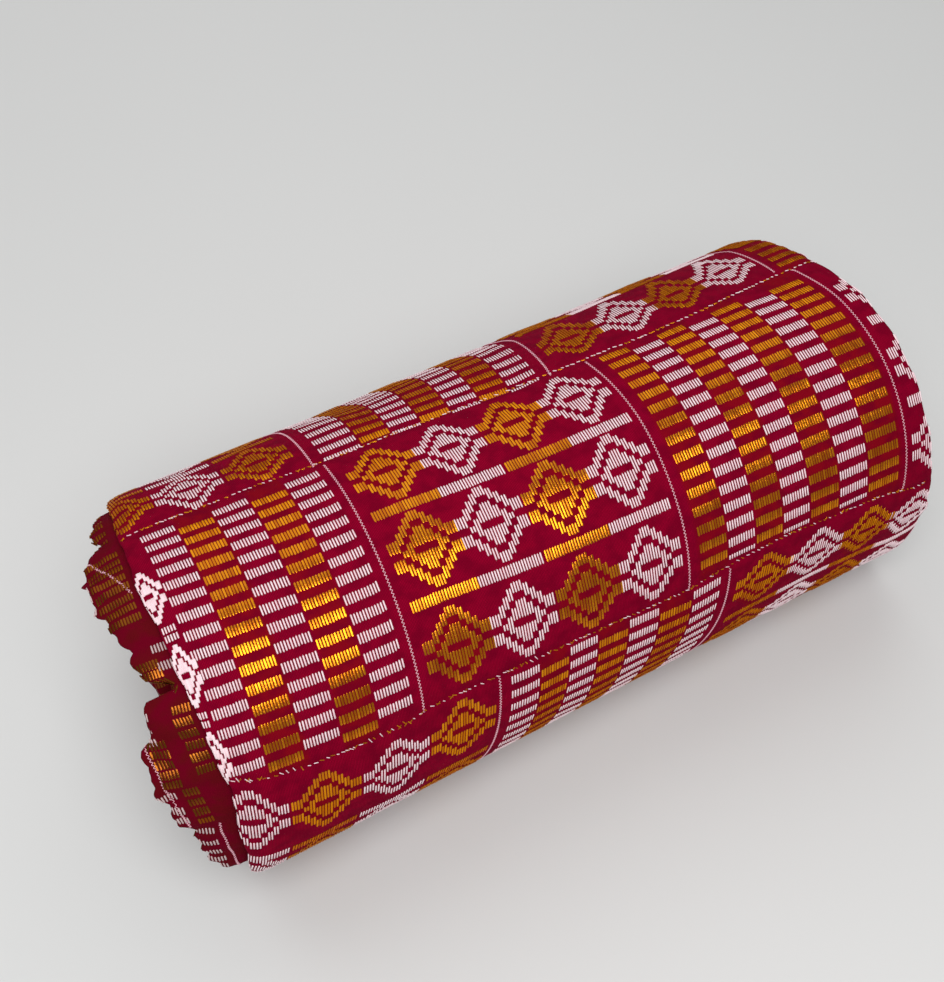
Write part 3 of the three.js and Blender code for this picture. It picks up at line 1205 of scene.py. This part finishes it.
def painted_inner(tree, u, v, base):
    """The same kind of pattern, flat, deep inside the folds and turns, where it hardly shows. Its
    white and gold are darkened there as painted shade.
    """
    column = maths(tree, "FLOOR", maths(tree, "DIVIDE", u, 12.3))
    odd = maths(tree, "PINGPONG", column, 1.0)
    along = maths(tree, "ADD", maths(tree, "DIVIDE", v, BAR_PITCH), times(tree, odd, 0.5))
    bars = maths(tree, "LESS_THAN", maths(tree, "FRACT", along), 0.56)
    gaps = maths(tree, "GREATER_THAN", wave(tree, u, PICK), 0.22)
    there = maths(tree, "MAXIMUM", maths(tree, "LESS_THAN", u, DEEP_U),
                  maths(tree, "LESS_THAN", v, DEEP_V))
    block = maths(tree, "GREATER_THAN", maths(tree, "PINGPONG", u, 95.0), 30.0)
    shown = times(tree, times(tree, times(tree, bars, gaps), there), block)
    return mix_colour(tree, shown, base, mix_colour(tree, odd, WHITE_SHADED_DEEP, GOLD_SHADED_DEEP))


def white_material():
    """Soft white weft, a little pink where it thins."""
    material, tree, shader = new_material("white_thread", {
        "Roughness": 0.6, "Specular IOR Level": 0.4, "Sheen Weight": 0.25, "Sheen Roughness": 0.4,
    })
    fluff = object_noise(tree, WHITE_GRAIN)
    base = mix_colour(tree, times(tree, attribute(tree, "tone"), 0.55), WHITE_THREAD, WHITE_SHADE)
    base = mix_colour(tree, times(tree, fluff, 0.25), base, WHITE_SHADE)
    # Painted shade on the threads of the folds at the left end.
    base = fold_shade(tree, base, WHITE_SHADED_FOLD, 0.8)
    finish_shader(tree, shader, base, bump(tree, fluff, 0.35, 0.0002))
    return material


def edge_material():
    """The thin pink zigzag lines beside the blocks."""
    material, tree, shader = new_material("pink_line", {"Roughness": 0.7})
    base = mix_colour(tree, attribute(tree, "tone"), WHITE_SHADE, LINE_PINK)
    fluff = object_noise(tree, WHITE_GRAIN)
    finish_shader(tree, shader, base, bump(tree, fluff, 0.3, 0.0002))
    return material


def gold_material():
    """Flat metallic weft: bright facets that glitter beside dull ones."""
    material, tree, shader = new_material("gold_thread", {
        "Metallic": 0.92, "Specular Tint": (0.8, 0.42, 0.05, 1),
    })
    glints = object_noise(tree, GOLD_GRAIN, 3.0)
    base = mix_colour(tree, times(tree, attribute(tree, "tone"), 0.7), GOLD_THREAD, GOLD_SHADE)
    # Painted shade on the threads of the folds at the left end.
    base = fold_shade(tree, base, GOLD_SHADED_FOLD, 0.9)
    feed(tree, shader.inputs["Roughness"], maths(tree, "ADD", times(tree, glints, 0.26), 0.13))
    facets = bump(tree, glints, 0.4, 0.0002, Normal=flat_normal(tree, 0.8))
    finish_shader(tree, shader, base, facets)
    return material


def floor_material():
    material, tree, shader = new_material("pale_floor", {"Roughness": 0.5})
    base = mix_colour(tree, object_noise(tree, 3.0), FLOOR_PALE, FLOOR_PALER)
    feed(tree, shader.inputs["Base Color"], base)
    return material


# The pieces

# A thread's width, how far its middle stands off the cloth, and its height, in millimetres.
WHITE_FLOAT = (0.7, 0.12, 0.55)
GOLD_FLOAT = (0.82, 0.12, 0.55)
STITCH = (0.4, 0.25, 0.5)
EDGE_LINE = (0.3, 0.08, 0.3)


def gather(colour):
    """All the floats of a colour: their ends, and 1 for each one on the fold at the left end, which
    gets painted shade.
    """
    ends, in_shade = [], []
    for strip in STRIPS:
        (u0, v0), (u1, v1) = strip.threads(colour)
        ends.append(np.stack([u0, v0, u1, v1]))
        in_shade.append(np.full(len(u0), float(strip is STRIPS[-1])))
    return np.concatenate(ends, axis=1), np.concatenate(in_shade)


def dress(obj):
    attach(obj, "root")
    return obj


def build_cloth():
    """The sheet, and the threads that are woven into it or sewn through it."""
    sheet = cloth_sheet()
    sheet.data.materials.append(ground_material())
    white, gold = white_material(), gold_material()
    (white_ends, white_in_shade), (gold_ends, gold_in_shade) = gather(WHITE), gather(GOLD)
    stitches = {colour: np.array(rows).T for colour, rows in seam_stitches().items()}
    threads = [
        dress(thread_pads(name, ends, material, size, seed, in_shade))
        for name, slot, ends, material, size, seed, in_shade in (
            ("white_floats", "white_weft", white_ends, white, WHITE_FLOAT, 5, white_in_shade),
            ("gold_floats", "gold_weft", gold_ends, gold, GOLD_FLOAT, 6, gold_in_shade),
            ("seam_white", "white_weft", stitches[WHITE], white, STITCH, 21, 0.0),
            ("seam_gold", "gold_weft", stitches[GOLD], gold, STITCH, 21, 0.0),
            ("edge_lines", "white_weft", edge_lines().T, edge_material(), EDGE_LINE, 31, 0.0),
        )
    ]
    dress(sheet)
    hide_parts("folded_cloth")
    return sheet


FLOOR_HALF = 4.0


def build_floor():
    mesh = bpy.data.meshes.new("floor")
    corners = [(x * FLOOR_HALF, y * FLOOR_HALF, 0) for x, y in ((-1, -1), (1, -1), (1, 1), (-1, 1))]
    mesh.from_pydata(corners, [], [(0, 1, 2, 3)])
    mesh.materials.append(floor_material())
    floor = link(bpy.data.objects.new("floor", mesh))
    return floor


LIT_POINT = Vector((0, 0, 0.06))


def area_light(name, direction, distance, size, power):
    """A round soft light, seen from the roll in a direction and at a distance."""
    lamp = bpy.data.lights.new(name, "AREA")
    lamp.shape = "DISK"
    lamp.size = size
    lamp.energy = power
    obj = link(bpy.data.objects.new(name, lamp))
    towards = Vector(direction).normalized()
    obj.location = LIT_POINT + towards * distance
    obj.rotation_euler = towards.to_track_quat("Z", "Y").to_euler()
    return obj


def build_light():
    """A key light from the front, a wide soft panel behind, and a pale sky."""
    area_light("key", (-0.14, -0.47, 0.8), distance=1.0, size=0.72, power=7.8)
    area_light("back", (0.0, 0.8, 0.9), distance=1.7, size=2.6, power=13)
    world = bpy.data.worlds.new("studio")
    world.use_nodes = True
    background = world.node_tree.nodes["Background"]
    background.inputs["Color"].default_value = (1.0, 1.0, 1.0, 1)
    background.inputs["Strength"].default_value = 0.34
    bpy.context.scene.world = world


CAMERA_PLACE = (-0.1198, -0.2752, 0.4878)
CAMERA_RIGHT = (0.90445, -0.42456, -0.04153)
CAMERA_FORWARD = (0.22237, 0.55231, -0.80343)
CAMERA_LENS = 52.865


def build_camera():
    """The camera stands to the front left, above, and leans a little."""
    right = Vector(CAMERA_RIGHT).normalized()
    forward = Vector(CAMERA_FORWARD).normalized()
    lens = bpy.data.cameras.new("camera")
    lens.lens = CAMERA_LENS
    lens.sensor_width = 36.0
    lens.sensor_fit = "HORIZONTAL"
    lens.clip_start = 0.01
    obj = link(bpy.data.objects.new("camera", lens))
    turn = Matrix((right, right.cross(forward), -forward)).transposed()
    obj.matrix_world = Matrix.Translation(CAMERA_PLACE) @ turn.to_4x4()
    bpy.context.scene.camera = obj


build_camera()
build_light()
build_floor()
build_cloth()
bpy.context.scene.view_settings.view_transform = "Standard"
